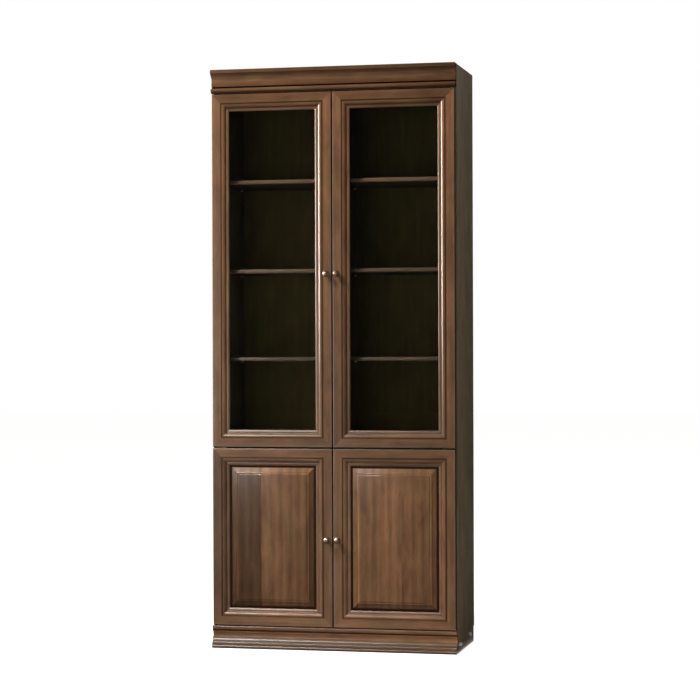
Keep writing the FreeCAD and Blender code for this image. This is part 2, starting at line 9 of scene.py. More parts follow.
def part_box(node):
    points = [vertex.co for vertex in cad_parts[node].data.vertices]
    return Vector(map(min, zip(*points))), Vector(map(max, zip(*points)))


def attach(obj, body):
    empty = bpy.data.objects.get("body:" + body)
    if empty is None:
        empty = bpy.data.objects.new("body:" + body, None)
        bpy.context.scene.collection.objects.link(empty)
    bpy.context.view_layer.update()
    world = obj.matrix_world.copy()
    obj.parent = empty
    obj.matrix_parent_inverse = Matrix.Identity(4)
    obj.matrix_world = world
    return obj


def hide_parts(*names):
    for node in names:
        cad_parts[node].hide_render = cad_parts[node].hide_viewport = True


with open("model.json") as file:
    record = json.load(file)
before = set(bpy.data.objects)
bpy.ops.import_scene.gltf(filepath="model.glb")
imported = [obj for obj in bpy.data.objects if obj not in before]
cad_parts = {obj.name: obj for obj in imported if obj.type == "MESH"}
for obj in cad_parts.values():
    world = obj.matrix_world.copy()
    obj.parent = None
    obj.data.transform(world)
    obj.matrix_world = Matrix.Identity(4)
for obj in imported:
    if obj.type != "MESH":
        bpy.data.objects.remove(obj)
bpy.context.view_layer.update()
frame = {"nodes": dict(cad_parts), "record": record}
nodes = frame["nodes"]
bodies = frame["record"]["behaviour"]["bodies"]
bodyOf = {node: body for body, members in bodies.items() for node in members}
mm = 0.001
print("frame loaded:", len(nodes), "nodes")


# Camera, seen from the right and a little above the middle of the case
cameraSet = {
    "place": (1.8358, -8.0308, 1.1366),
    "yaw": 0.22149,
    "pitch": -0.00044,
    "roll": -0.00324,
    "lens": 110.2,
    "sensor": 36.0,
    "clipEnd": 200.0,
}


def makeCamera():
    data = bpy.data.cameras.new("camera")
    data.lens = cameraSet["lens"]
    data.sensor_width = cameraSet["sensor"]
    data.clip_end = cameraSet["clipEnd"]
    camera = bpy.data.objects.new("camera", data)
    turn = (Matrix.Rotation(cameraSet["yaw"], 4, "Z")
            @ Matrix.Rotation(math.pi / 2 + cameraSet["pitch"], 4, "X")
            @ Matrix.Rotation(cameraSet["roll"], 4, "Z"))
    camera.matrix_world = Matrix.Translation(cameraSet["place"]) @ turn
    bpy.context.scene.collection.objects.link(camera)
    bpy.context.scene.camera = camera


makeCamera()
print("camera set")


# Node helpers
def srgb(red, green, blue):
    # a screen colour of 0 to 255 as linear light
    linear = [(v / 255 / 12.92) if v <= 10 else ((v / 255 + 0.055) / 1.055) ** 2.4
              for v in (red, green, blue)]
    return (*linear, 1.0)


def newMaterial(name):
    material = bpy.data.materials.new(name)
    material.use_nodes = True
    tree = material.node_tree
    return material, tree, tree.nodes["Principled BSDF"]


def setInputs(tree, node, values):
    # a socket is linked, and anything else is set on the input itself
    for key, value in values.items():
        if isinstance(value, bpy.types.NodeSocket):
            tree.links.new(value, node.inputs[key])
        else:
            node.inputs[key].default_value = value


def addNode(tree, kind, inputs, **settings):
    node = tree.nodes.new(kind)
    for key, value in settings.items():
        setattr(node, key, value)
    setInputs(tree, node, inputs)
    return node


def math2(tree, operation, first, second):
    inputs = {0: first, 1: second}
    return addNode(tree, "ShaderNodeMath", inputs, operation=operation).outputs[0]


def plus(tree, first, second):
    return math2(tree, "ADD", first, second)


def times(tree, first, second):
    return math2(tree, "MULTIPLY", first, second)


def vectorMath(tree, operation, first, second):
    inputs = {0: first, 1: second}
    return addNode(tree, "ShaderNodeVectorMath", inputs, operation=operation).outputs[0]


def mixColour(tree, blend, factor, first, second):
    # a colour Mix node has its two colours at inputs 6 and 7 and its result at output 2
    inputs = {0: factor, 6: first, 7: second}
    return addNode(tree, "ShaderNodeMix", inputs, data_type="RGBA", blend_type=blend).outputs[2]


def noise(tree, vector, scale, detail=2.0, roughness=0.5, distortion=0.0):
    inputs = {"Vector": vector, "Scale": scale, "Detail": detail, "Roughness": roughness,
              "Distortion": distortion}
    return addNode(tree, "ShaderNodeTexNoise", inputs).outputs["Fac"]


def ramp(tree, factor, stops, interpolation="LINEAR"):
    node = addNode(tree, "ShaderNodeValToRGB", {"Fac": factor})
    node.color_ramp.interpolation = interpolation
    elements = node.color_ramp.elements
    while len(elements) < len(stops):
        elements.new(1.0)
    for element, (place, colour) in zip(elements, stops):
        element.position = place
        element.color = colour if isinstance(colour, tuple) else (colour, colour, colour, 1.0)
    return node.outputs["Color"]


def rangeTo(tree, value, low, high):
    # 0 at low and 1 at high, held outside them
    inputs = {"Value": value, "From Min": low, "From Max": high}
    return addNode(tree, "ShaderNodeMapRange", inputs).outputs[0]


def objectPlace(tree):
    return addNode(tree, "ShaderNodeTexCoord", {}).outputs["Object"]


def axisOf(tree, vector, axis):
    return addNode(tree, "ShaderNodeSeparateXYZ", {0: vector}).outputs[axis]


def attribute(tree, name):
    node = addNode(tree, "ShaderNodeAttribute", {}, attribute_name=name, attribute_type="GEOMETRY")
    return node.outputs["Fac"]


def bumped(tree, shader, height, finish):
    inputs = {"Distance": finish["bumpDistance"], "Strength": finish["bumpStrength"],
              "Height": height}
    node = addNode(tree, "ShaderNodeBump", inputs)
    tree.links.new(node.outputs["Normal"], shader.inputs["Normal"])


def setSurface(tree, closure):
    tree.links.new(closure.outputs[0], tree.nodes["Material Output"].inputs["Surface"])


# Wood: fine streaks and pores along the grain, soft mottling across the board
# each look's glaze colour darkens the glued joints, and as glaze with painted shade the grooves
# and the faces in shade
woodLooks = {
    "moulding": {"dark": (80, 57, 40), "middle": (109, 79, 56), "light": (134, 101, 72),
                 "glazeShade": (46, 26, 11), "roughness": 0.28, "specular": 0.4, "figure": 0.35},
    "panel": {"dark": (78, 55, 40), "middle": (110, 80, 56), "light": (134, 101, 72),
              "glazeShade": (40, 22, 9), "roughness": 0.22, "specular": 0.4, "figure": 0.6},
    "side": {"dark": (98, 84, 67), "middle": (129, 113, 93), "light": (151, 134, 112),
             "glazeShade": (52, 36, 24), "roughness": 0.44, "specular": 0.16, "figure": 0.4},
    "inside": {"dark": (56, 48, 27), "middle": (66, 57, 33), "light": (78, 68, 41),
               "glazeShade": (10, 7, 4), "roughness": 0.6, "specular": 0.02, "figure": 0.3},
    "shelf": {"dark": (24, 19, 12), "middle": (34, 27, 18), "light": (44, 35, 24),
              "glazeShade": (14, 10, 6), "roughness": 0.5, "specular": 0.12, "figure": 0.3},
    "softwood": {"dark": (176, 136, 88), "middle": (206, 168, 116), "light": (224, 190, 142),
                 "glazeShade": (120, 84, 50), "roughness": 0.6, "specular": 0.3, "figure": 0.7},
    "bead": {"dark": (30, 21, 13), "middle": (42, 30, 19), "light": (54, 40, 27),
             "glazeShade": (20, 13, 8), "roughness": 0.45, "specular": 0.15, "figure": 0.3},
}
# the layers of the figure, with how fine each is across and along the grain
grainLayers = {
    "streaks": {"across": 70.0, "along": 5.0, "detail": 5.0, "roughness": 0.6, "distortion": 0.3},
    "fibres": {"across": 420.0, "along": 9.0, "detail": 3.0, "roughness": 0.6, "distortion": 0.0},
    "pores": {"across": 900.0, "along": 26.0, "detail": 2.0, "roughness": 0.5, "distortion": 0.0},
    "mottle": {"across": 20.0, "along": 7.5, "detail": 4.0, "roughness": 0.6, "distortion": 0.5},
    "hue": {"across": 22.0, "along": 6.0, "detail": 2.0, "roughness": 0.5, "distortion": 0.6},
}
growthRings = {"across": 9.0, "along": 0.55,
               "inputs": {"Distortion": 5.0, "Detail": 3.0, "Detail Scale": 0.7}}
woodFinish = {
    "shares": {"streaks": 0.5, "fibres": 0.25, "mottle": 0.8, "rings": 0.25},
    "toneStops": {"dark": 0.30, "middle": 0.50, "light": 0.72},
    "tintStops": [(0.32, (1.0, 0.90, 0.90, 1.0)), (0.50, (0.97, 0.95, 0.92, 1.0)),
                  (0.68, (0.92, 0.98, 0.84, 1.0))],
    "poreStops": [(0.60, 0.0), (0.72, 1.0)],
    "poreColour": (70, 50, 34),
    "poreStrength": 0.22,
    "jointStrength": 0.45,
    "glazeShadeLevel": 0.6,
    "glazeShadeMottle": 0.5,
    "glazeShadeShine": 0.05,
    "streakSheen": 0.02,
    "fibreHeight": 0.5,
    "poreHeight": -0.6,
    "jointHeight": 1.5,
    "bumpDistance": 0.12 * mm,
    "bumpStrength": 0.04,
    "pieceOffset": {"X": 3.17, "Y": 5.41, "Z": 7.93},
    "staveOffset": 9.7,
}


def staveMasks(tree, place, staves):
    # the tone of the stave that a point lies in, and how near the point is to a glued joint
    left, right = staves["left"], staves["right"]
    x = axisOf(tree, place, "X")
    starts = [0.0] + [(joint - left) / (right - left) for joint in staves["joints"]]
    stops = list(zip(starts, staves["tones"]))
    staveTone = ramp(tree, rangeTo(tree, x, left, right), stops, "CONSTANT")
    nearJoint = None
    for joint in staves["joints"]:
        away = math2(tree, "ABSOLUTE", math2(tree, "SUBTRACT", x, joint), 0.0)
        line = rangeTo(tree, away, staves["jointWidth"], 0.0)
        nearJoint = line if nearJoint is None else math2(tree, "MAXIMUM", nearJoint, line)
    return staveTone, nearJoint


def woodMaterial(name, lookName, grain, staves=None, edge=None):
    look = woodLooks[lookName]
    finish = woodFinish
    material, tree, shader = newMaterial(name)
    place = objectPlace(tree)
    turn = {"X": (0, math.pi / 2, 0), "Z": (0, 0, 0)}[grain]
    turned = addNode(tree, "ShaderNodeMapping", {"Vector": place, "Rotation": turn})
    # each piece, and each stave, is cut from another part of the tree
    shift = attribute(tree, "shift")
    tone = attribute(tree, "tone")
    joint = None
    if staves:
        # a stave's tone of 0.5 leaves it as it is
        staveTone, joint = staveMasks(tree, place, staves)
        shift = plus(tree, shift, times(tree, staveTone, finish["staveOffset"]))
        tone = plus(tree, tone, plus(tree, times(tree, staveTone, 2.0), -1.0))
    offsets = {axis: times(tree, shift, offset) for axis, offset in finish["pieceOffset"].items()}
    moved = addNode(tree, "ShaderNodeCombineXYZ", offsets)
    board = vectorMath(tree, "ADD", turned.outputs[0], moved.outputs[0])

    def stretched(layer):
        scale = (layer["across"], layer["across"], layer["along"])
        return vectorMath(tree, "MULTIPLY", board, scale)

    layers = {layerName: noise(tree, stretched(layer), 1.0, layer["detail"],
                               layer["roughness"], layer["distortion"])
              for layerName, layer in grainLayers.items()}
    ringInputs = {"Vector": stretched(growthRings), "Scale": 1.0}
    ringInputs.update(growthRings["inputs"])
    rings = addNode(tree, "ShaderNodeTexWave", ringInputs, wave_type="BANDS", bands_direction="X")
    layers["rings"] = rings.outputs["Fac"]

    shares = dict(finish["shares"])
    shares["rings"] *= look["figure"]
    figure = None
    for layerName, share in shares.items():
        part = times(tree, layers[layerName], share)
        figure = part if figure is None else plus(tree, figure, part)
    figure = times(tree, figure, 1 / sum(shares.values()))
    shades = [(stop, srgb(*look[shade])) for shade, stop in finish["toneStops"].items()]
    colour = ramp(tree, figure, shades)
    # the stain takes redder in some places and more golden or olive in others
    tint = ramp(tree, layers["hue"], finish["tintStops"])
    colour = mixColour(tree, "MULTIPLY", 1.0, colour, tint)
    pores = ramp(tree, layers["pores"], finish["poreStops"])
    colour = mixColour(tree, "MULTIPLY", times(tree, pores, finish["poreStrength"]), colour,
                       srgb(*finish["poreColour"]))
    if edge:
        # solid lipping along the front edge of a shelf
        lip = math2(tree, "LESS_THAN", axisOf(tree, place, "Y"), edge["back"])
        strip = mixColour(tree, "MIX", figure, srgb(*edge["dark"]), srgb(*edge["light"]))
        colour = mixColour(tree, "MIX", lip, colour, strip)
    # the tone attribute holds each piece's own tone, and on many pieces painted light and shade as
    # well
    level = {0: colour, "Scale": plus(tree, tone, 1.0)}
    colour = addNode(tree, "ShaderNodeVectorMath", level, operation="SCALE").outputs[0]
    glazeShadeColour = srgb(*look["glazeShade"])
    if joint is not None:
        colour = mixColour(tree, "MIX", times(tree, joint, finish["jointStrength"]), colour,
                           glazeShadeColour)
    # dark glaze with painted shade: darker in the grooves, recesses and door edges, on the panels'
    # right and bottom bevels, under the crown's bead and the base's nose and along the plinth's
    # foot
    patchy = times(tree, layers["mottle"], finish["glazeShadeMottle"])
    patchy = plus(tree, patchy, finish["glazeShadeLevel"])
    glazeShade = math2(tree, "MINIMUM", times(tree, attribute(tree, "glazeShade"), patchy), 1.0)
    colour = mixColour(tree, "MIX", glazeShade, colour, glazeShadeColour)

    sheen = times(tree, layers["streaks"], finish["streakSheen"])
    sheen = plus(tree, sheen, look["roughness"] - finish["streakSheen"] / 2)
    sheen = plus(tree, sheen, attribute(tree, "matt"))
    sheen = math2(tree, "SUBTRACT", sheen, times(tree, glazeShade, finish["glazeShadeShine"]))
    setInputs(tree, shader, {"Base Color": colour, "Roughness": sheen,
                             "Specular IOR Level": look["specular"]})
    height = plus(tree, times(tree, layers["fibres"], finish["fibreHeight"]),
                  times(tree, pores, finish["poreHeight"]))
    if joint is not None:
        height = math2(tree, "SUBTRACT", height, times(tree, joint, finish["jointHeight"]))
    bumped(tree, shader, height, finish)
    return material


# Metals: bright where hands and doors rub them, tarnished in clouds
metalLooks = {
    "knobBronze": {"bright": (162, 137, 119), "dull": (70, 54, 45), "roughness": 0.27,
                   "tarnish": 0.8, "metallic": 0.8},
    "hingeBrass": {"bright": (96, 78, 52), "dull": (54, 42, 28), "roughness": 0.34,
                   "tarnish": 0.6, "metallic": 1.0},
    "pinSteel": {"bright": (186, 188, 190), "dull": (136, 138, 140), "roughness": 0.30,
                 "tarnish": 0.4, "metallic": 1.0},
    # near white and not metallic: a painted reflection, standing in for the bright floor that
    # nickel heads mirror
    "boltNickelPaintedShine": {"bright": (252, 250, 244), "dull": (236, 232, 224), "roughness": 0.30,
                   "tarnish": 0.3, "metallic": 0.0},
}
metalFinish = {
    "cloudScale": 160.0,
    "cloudStops": [(0.38, 0.0), (0.62, 1.0)],
    "fineScale": 1400.0,
    "dullRoughness": 0.25,
    "fineRoughness": 0.06,
    "bumpDistance": 0.05 * mm,
    "bumpStrength": 0.3,
}


def metalMaterial(name):
    look = metalLooks[name]
    finish = metalFinish
    material, tree, shader = newMaterial(name)
    place = objectPlace(tree)
    cloud = noise(tree, place, finish["cloudScale"], detail=4.0, roughness=0.6)
    fine = noise(tree, place, finish["fineScale"])
    amount = times(tree, ramp(tree, cloud, finish["cloudStops"]), look["tarnish"])
    colour = mixColour(tree, "MIX", amount, srgb(*look["bright"]), srgb(*look["dull"]))
    rough = plus(tree, times(tree, amount, finish["dullRoughness"]), look["roughness"])
    rough = plus(tree, rough, times(tree, fine, finish["fineRoughness"]))
    setInputs(tree, shader, {"Base Color": colour, "Metallic": look["metallic"],
                             "Roughness": rough})
    bumped(tree, shader, fine, finish)
    return material


plasticLooks = {
    "catchPlastic": {"colour": (70, 48, 32), "roughness": 0.42},
    "glidePlastic": {"colour": (26, 25, 24), "roughness": 0.5},
}
plasticFinish = {
    "cloudScale": 60.0,
    "cloudStrength": 0.4,
    "cloudLift": 22,
    "cloudRoughness": 0.1,
    "grainScale": 1800.0,
    "bumpDistance": 0.1 * mm,
    "bumpStrength": 0.35,
}


def plasticMaterial(name):
    look = plasticLooks[name]
    finish = plasticFinish
    material, tree, shader = newMaterial(name)
    place = objectPlace(tree)
    grainy = noise(tree, place, finish["grainScale"])
    cloud = noise(tree, place, finish["cloudScale"])
    paler = srgb(*[v + finish["cloudLift"] for v in look["colour"]])
    colour = mixColour(tree, "MIX", times(tree, cloud, finish["cloudStrength"]),
                       srgb(*look["colour"]), paler)
    rough = plus(tree, times(tree, cloud, finish["cloudRoughness"]), look["roughness"])
    setInputs(tree, shader, {"Base Color": colour, "Roughness": rough})
    bumped(tree, shader, grainy, finish)
    return material


glassSet = {"clear": (250, 253, 251), "smeared": (244, 250, 247), "smearScale": 7.0, "ior": 1.2}


def glassMaterial():
    material, tree, shader = newMaterial("clearGlass")
    smear = noise(tree, objectPlace(tree), glassSet["smearScale"], detail=3.0)
    tint = mixColour(tree, "MIX", smear, srgb(*glassSet["clear"]), srgb(*glassSet["smeared"]))
    setInputs(tree, shader, {"Base Color": tint, "Transmission Weight": 1.0, "Roughness": 0.0,
                             "IOR": glassSet["ior"]})
    # the panes cast no shadow
    clear = addNode(tree, "ShaderNodeBsdfTransparent", {})
    path = addNode(tree, "ShaderNodeLightPath", {})
    setSurface(tree, addNode(tree, "ShaderNodeMixShader", {
        0: path.outputs["Is Shadow Ray"], 1: shader.outputs[0], 2: clear.outputs[0]}))
    return material


# Mesh helpers
meshSet = {
    "weld": 0.01 * mm,
    "flatAngle": 1.0,       # faces that turn less are one face
    "sectionAngle": 24.0,   # corners of a section that turn less stay as they are
    "smoothAngle": 34.0,    # edges that turn more are shaded sharp
}


def outlinePoints(steps, arcSteps):
    # (a, b) is a corner; (a, b, rise) an arc that swells to the left of its way
    points = []
    for index, step in enumerate(steps):
        there = Vector(step[:2])
        if len(step) == 3:
            here = Vector(steps[index - 1][:2])
            run = there - here
            half = run.length / 2
            radius = (half * half + step[2] * step[2]) / (2 * abs(step[2]))
            side = math.copysign(1.0, step[2])
            normal = Vector((-run.y, run.x)).normalized() * side
            centre = (here + there) / 2 - normal * (radius - abs(step[2]))
            start = here - centre
            sweep = -2 * math.asin(min(1.0, half / radius)) * side
            if abs(step[2]) > half:
                sweep = -side * (2 * math.pi - abs(sweep))
            for number in range(1, arcSteps):
                turn = Matrix.Rotation(sweep * number / arcSteps, 2)
                points.append(centre + turn @ start)
        points.append(there)
    return points


def quarterRise(radius):
    return radius * (1 - math.sqrt(0.5))


def uprightArcRise(across, along):
    half = math.hypot(across, along) / 2
    return half * math.tan(math.atan2(across, along) / 2)


def bevelEdges(mesh, edges, width, segments):
    bmesh.ops.bevel(mesh, geom=edges, affect="EDGES", offset=width, offset_type="OFFSET",
                    segments=segments, profile=0.5, material=-1, clamp_overlap=True)


def sectionBar(steps, place, along, look, sharp=()):
    # a bar of one section, with its corners along the run eased like sanded wood,
    # except those named in sharp
    bar = bmesh.new()
    corners = [bar.verts.new(place(*point)) for point in outlinePoints(steps, look["arcSteps"])]
    face = bar.faces.new(corners)
    grown = bmesh.ops.extrude_face_region(bar, geom=[face])
    tips = [item for item in grown["geom"] if isinstance(item, bmesh.types.BMVert)]
    bmesh.ops.translate(bar, verts=tips, vec=along)
    bmesh.ops.recalc_face_normals(bar, faces=bar.faces)
    way = along.normalized()
    left = [place(*point) for point in sharp]

    def eased(edge):
        start, end = [vert.co for vert in edge.verts]
        return (abs((end - start).normalized().dot(way)) > 0.99
                and edge.calc_face_angle(0) > math.radians(meshSet["sectionAngle"])
                and all((start - point).cross(way).length > meshSet["weld"] for point in left))

    bevelEdges(bar, [edge for edge in bar.edges if eased(edge)], look["ease"], 2)
    return bar


def cutAway(mesh, point, normal):
    # keeps what lies on the side that the normal points away from
    everything = list(mesh.verts) + list(mesh.edges) + list(mesh.faces)
    made = bmesh.ops.bisect_plane(mesh, geom=everything, plane_co=point, plane_no=normal,
                                  clear_outer=True, clear_inner=False)
    rim = [item for item in made["geom_cut"] if isinstance(item, bmesh.types.BMEdge)]
    bmesh.ops.edgeloop_fill(mesh, edges=rim)


def easeEdges(mesh, width, look):
    crisp = [edge for edge in mesh.edges
             if edge.is_manifold and edge.calc_length() > look["shortestEdge"]
             and edge.calc_face_angle(0) > math.radians(look["crispAngle"])]
    bevelEdges(mesh, crisp, width, look["easeSegments"])


def fading(distance, reach):
    # 1 on a line, falling to 0 at its reach
    return max(0.0, 1 - distance / reach)


def setAttribute(data, name, rule, byFace):
    # by face, a rule also gets the middle of the face, and values may jump at an edge
    layer = data.attributes.new(name, "FLOAT", "CORNER" if byFace else "POINT")
    if byFace:
        values = [rule(data.vertices[index].co, face.center)
                  for face in data.polygons for index in face.vertices]
    else:
        values = [rule(v.co) for v in data.vertices]
    layer.data.foreach_set("value", values)


def alongRun(stops, place):
    # value at one place of a list of (place, value), straight in between
    if place <= stops[0][0]:
        return stops[0][1]
    for (here, first), (there, second) in zip(stops, stops[1:]):
        if place <= there:
            return first + (second - first) * (place - here) / (there - here)
    return stops[-1][1]


def meshObject(mesh, name, material):
    data = bpy.data.meshes.new(name)
    mesh.to_mesh(data)
    mesh.free()
    data.materials.append(material)
    piece = bpy.data.objects.new(name, data)
    bpy.context.scene.collection.objects.link(piece)
    return piece


def finishPiece(mesh, name, node, slotName, material, shift=0.0, tone=None, glazeShade=None,
                matt=None, smoothAngle=meshSet["smoothAngle"], byFace=False):
    # shift picks the part of the tree; tone, glaze and matt are rules from place to value, and the
    # glaze rule is dark glaze with painted shade
    bmesh.ops.recalc_face_normals(mesh, faces=mesh.faces)
    piece = meshObject(mesh, name, material)
    setAttribute(piece.data, "shift", lambda point: shift, False)
    for attributeName, rule in (("tone", tone), ("glazeShade", glazeShade), ("matt", matt)):
        if rule:
            setAttribute(piece.data, attributeName, rule, byFace)
    piece.data.shade_smooth()
    piece.data.set_sharp_from_angle(angle=math.radians(smoothAngle))
    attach(piece, bodyOf[node])
    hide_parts(node)


def mergedCopy(node):
    mesh = bmesh.new()
    mesh.from_mesh(nodes[node].data)
    bmesh.ops.remove_doubles(mesh, verts=mesh.verts, dist=meshSet["weld"])
    bmesh.ops.dissolve_limit(mesh, angle_limit=math.radians(meshSet["flatAngle"]),
                             verts=mesh.verts, edges=mesh.edges)
    return mesh


# The materials
mouldingUpright = woodMaterial("mouldingWoodUpright", "moulding", "Z")
mouldingLevel = woodMaterial("mouldingWoodLevel", "moulding", "X")
sideVeneer = woodMaterial("sideVeneer", "side", "Z")
insideUpright = woodMaterial("insideWoodUpright", "inside", "Z")
insideLevel = woodMaterial("insideWoodLevel", "inside", "X")
beadUpright = woodMaterial("beadWoodUpright", "bead", "Z")
softwoodLevel = woodMaterial("softwoodLevel", "softwood", "X")
clearGlass = glassMaterial()
knobBronze = metalMaterial("knobBronze")
hingeBrass = metalMaterial("hingeBrass")
pinSteel = metalMaterial("pinSteel")
boltNickelPaintedShine = metalMaterial("boltNickelPaintedShine")
catchPlastic = plasticMaterial("catchPlastic")
glidePlastic = plasticMaterial("glidePlastic")
print("materials made")


# Door frames: one moulded section, mitred at the corners
doorSection = {
    "thickness": 22 * mm,
    "flat": 35 * mm,
    "quirkWidth": 2 * mm,
    "quirkDepth": 1.6 * mm,
    "beadWidth": 15.5 * mm,
    "beadDrop": 6.3 * mm,
    "beadRise": 2.3 * mm,
    "stepDrop": 2.2 * mm,
    "stepWidth": 1.5 * mm,
    "lipDrop": 2.0 * mm,
    "lipRise": 1.2 * mm,
    "rebateWidth": 10 * mm,
    "rebateDepth": 12.4 * mm,
    "tongue": 5.7 * mm,
    "frontArris": 2.0 * mm,
    "backArris": 3.0 * mm,
    "ease": 0.45 * mm,
    "arcSteps": 8,
    # glaze with painted shade darkens the quirk, the step, the sight edge and the outer arris,
    # where the gaps between the doors lie in shade
    "glazeShadeReach": 5.4 * mm,
    "quirkGlazeShade": 1.35,
    "edgeGlazeShade": 0.95,
    "edgeMatt": 0.35,
    "lipMatt": 0.05,
    "lipShade": 0.0,
    "shiftStep": 0.37,
}
# the bottom rails have less glaze and painted shade in the quirk, and a duller lip darkened with
# painted shade
bottomRailLook = {"quirkGlazeShade": 0.8, "lipMatt": 0.2, "lipShade": 0.3}
quirkEnd = doorSection["flat"] + doorSection["quirkWidth"]
beadEnd = quirkEnd + doorSection["beadWidth"]


def frameSteps(width, grooved):
    # the section from the outer edge inwards; two spare points on the flat end the glaze and
    # painted shade
    s = doorSection
    step = beadEnd + s["stepWidth"]
    stepFoot = s["beadDrop"] + s["stepDrop"]
    seat = width - s["rebateWidth"]
    steps = [
        (0, s["frontArris"]),
        (s["frontArris"], 0, -quarterRise(s["frontArris"])),
        (2.2 * s["frontArris"], 0),
        (s["flat"] - 0.7 * s["glazeShadeReach"], 0),
        (s["flat"], 0),
        (s["flat"] + s["quirkWidth"] / 2, s["quirkDepth"]),
        (quirkEnd, 0),
        (beadEnd, s["beadDrop"], -s["beadRise"]),
        (beadEnd, stepFoot),
        (step, stepFoot),
        (width, stepFoot + s["lipDrop"], -s["lipRise"]),
        (width, s["rebateDepth"]),
        (seat, s["rebateDepth"]),
    ]
    if grooved:
        grooveBack = s["rebateDepth"] + s["tongue"]
        steps += [(seat, grooveBack), (width, grooveBack), (width, s["thickness"])]
    else:
        steps += [(seat, s["thickness"])]
    steps += [
        (s["backArris"], s["thickness"]),
        (0, s["thickness"] - s["backArris"], -quarterRise(s["backArris"])),
    ]
    return steps


def frameGlazeShade(width, quirkGlazeShade):
    # each line of glaze and painted shade: its place in the section, how far it reaches and how
    # dark it is
    s = doorSection
    return [(s["flat"] + s["quirkWidth"] / 2, s["quirkDepth"], s["glazeShadeReach"], quirkGlazeShade),
            (beadEnd + s["stepWidth"] / 2, s["beadDrop"] + s["stepDrop"], 2.6 * mm, 0.4),
            (width, s["rebateDepth"], 3.0 * mm, 1.6)]


# tone at the low or left end of a member, and at its high or right end; partly each member's own
# tone and partly painted light, lighter or darker as light falls on the front
frameTones = {
    "glass_door_left": {"hinge_stile": (0.0, -0.06), "meeting_stile": (-0.16, 0.04),
                        "top_rail": (-0.26, -0.22), "bottom_rail": (-0.14, -0.04)},
    "glass_door_right": {"hinge_stile": (-0.16, 0.1), "meeting_stile": (-0.36, 0.04),
                         "top_rail": (-0.30, -0.44), "bottom_rail": (-0.04, -0.22)},
    "panel_door_left": {"hinge_stile": (-0.26, -0.40), "meeting_stile": (0.04, -0.14),
                        "top_rail": (0.06, -0.08), "bottom_rail": (0.06, 0.42)},
    "panel_door_right": {"hinge_stile": (0.08, -0.06), "meeting_stile": (0.2, 0.16),
                         "top_rail": (-0.08, -0.18), "bottom_rail": (0.4, 0.14)},
}


def frameMember(door, part, seed):
    node = door + "_" + part
    low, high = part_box(node)
    upright = part.endswith("stile")
    front = high.y - doorSection["thickness"]
    if upright:
        width = high.x - low.x
        length = high.z - low.z
        outerAtLow = door.endswith("left") == (part == "hinge_stile")
        corner = Vector((low.x if outerAtLow else high.x, front, low.z))
        across = Vector((1 if outerAtLow else -1, 0, 0))
        along = Vector((0, 0, 1))
    else:
        width = high.z - low.z
        length = high.x - low.x
        outerAtLow = part == "bottom_rail"
        corner = Vector((low.x, front, low.z if outerAtLow else high.z))
        across = Vector((0, 0, 1 if outerAtLow else -1))
        along = Vector((1, 0, 0))

    def place(u, v):
        return corner + across * u + Vector((0, v, 0))

    steps = frameSteps(width, grooved=door.startswith("panel"))
    bar = sectionBar(steps, place, along * length, doorSection,
                     sharp=[(doorSection["flat"], 0), (quirkEnd, 0)])
    cutAway(bar, corner, (across - along).normalized())
    cutAway(bar, corner + along * length, (across + along).normalized())
    bmesh.ops.recalc_face_normals(bar, faces=bar.faces)
    look = dict(doorSection)
    if part == "bottom_rail":
        look.update(bottomRailLook)
    lines = frameGlazeShade(width, look["quirkGlazeShade"])
    first, last = frameTones[door][part]

    def tone(point):
        run = (point - corner).dot(along) / length
        lip = look["lipShade"] if (point - corner).dot(across) > beadEnd else 0.0
        return (1 + first + (last - first) * run) * (1 - lip) - 1

    def matt(point):
        u = (point - corner).dot(across)
        if u < 2.0 * look["frontArris"]:
            return look["edgeMatt"]
        return look["lipMatt"] if u >= beadEnd else 0.0

    # painted shade with glaze: dark in the quirk, at the step and the sight edge, and along the
    # outer arris
    def glazeShade(point):
        u = (point - corner).dot(across)
        v = point.y - corner.y
        outer = look["edgeGlazeShade"] * fading(u, 1.9 * look["frontArris"])
        return max(outer, *[fading(math.hypot(u - a, v - b), reach) * strength
                            for a, b, reach, strength in lines])

    finishPiece(bar, node + "_moulded", node, "moulding_wood",
                mouldingUpright if upright else mouldingLevel,
                shift=seed * look["shiftStep"], tone=tone, glazeShade=glazeShade, matt=matt)


doors = list(frameTones)
members = [(door, part) for door in doors for part in frameTones[door]]
for seed, (door, part) in enumerate(members, 1):
    frameMember(door, part, seed)
print("door frames made")


# Raised panels of glued staves
panelSet = {
    "margin": 7 * mm,
    "bevelWidth": 19.5 * mm,
    "bevelRise": 5.2 * mm,
    "stepRise": 1.6 * mm,
    "ledgeWidth": 8 * mm,
    "ledgeRise": 0.8 * mm,
    "tongue": 5.6 * mm,
    "reach": 8.5 * mm,
    # glaze with painted shade: the recess behind the frame's lip and the creases at the steps are
    # darkened
    "glazeShadeWidth": 1.8 * mm,
    "recessGlazeShade": 1.8,
    "bevelGlazeShade": 0.8,
    "ledgeGlazeShade": 0.7,
    "ease": 1.1 * mm,
    "easeSegments": 3,
    "shortestEdge": 50 * mm,
    "crispAngle": 20.0,
    "jointWidth": 0.5 * mm,
    # how far the painted shade of the recess spreads over each bevel
    "spread": {"left": 2.2 * mm, "right": 6.0 * mm, "bottom": 8.0 * mm, "top": 2.2 * mm},
}
